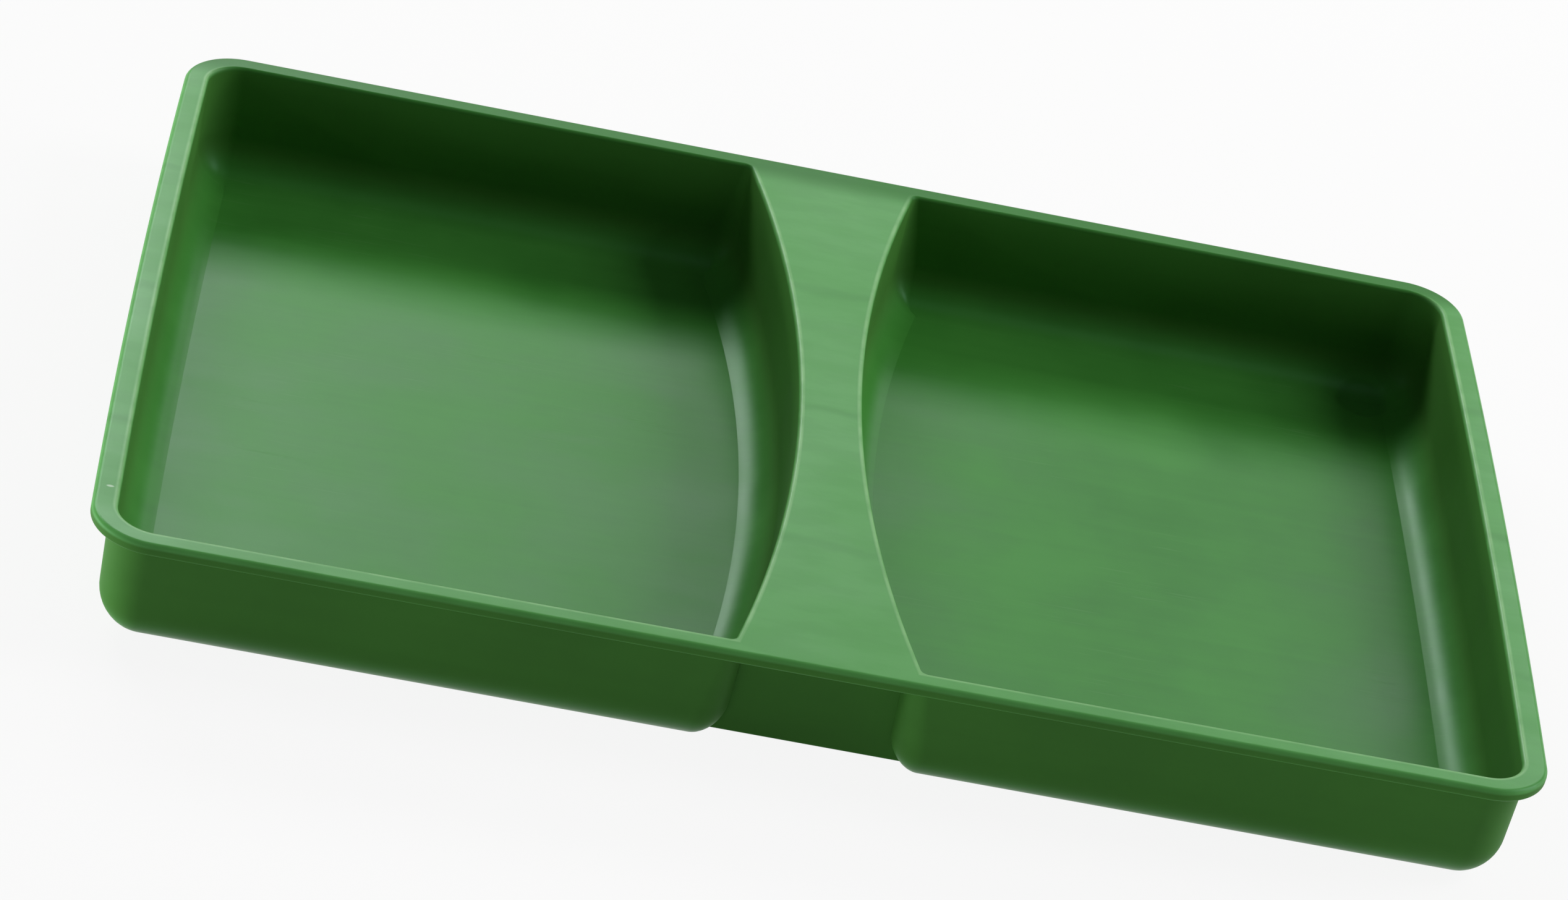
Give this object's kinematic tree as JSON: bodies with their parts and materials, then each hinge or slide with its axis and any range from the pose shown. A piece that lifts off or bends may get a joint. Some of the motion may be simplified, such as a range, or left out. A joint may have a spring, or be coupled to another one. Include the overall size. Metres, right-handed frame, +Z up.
{
  "type": "paint roller tray",
  "caption": "Shallow moulded paint tray: flat-floored wells side by side, a waisted flat bridge between them, a flat rim with a turned-down lip and set-back webs closing the bridge's hollow.",
  "frame": {"origin": "middle of the footprint, on the plane the tray stands on", "axes": "+X along the tray's length towards the right-hand well, +Y to the back, +Z up"},
  "size_m": [0.342, 0.236, 0.032],
  "materials": {
    "moulded_green": "semi-gloss moulded polypropylene, one colour all through"
  },
  "bodies": {
    "root": {"left_well": "moulded_green", "right_well": "moulded_green", "rim": "moulded_green", "bridge": "moulded_green", "front_web": "moulded_green", "back_web": "moulded_green"}
  },
  "joints": []
}
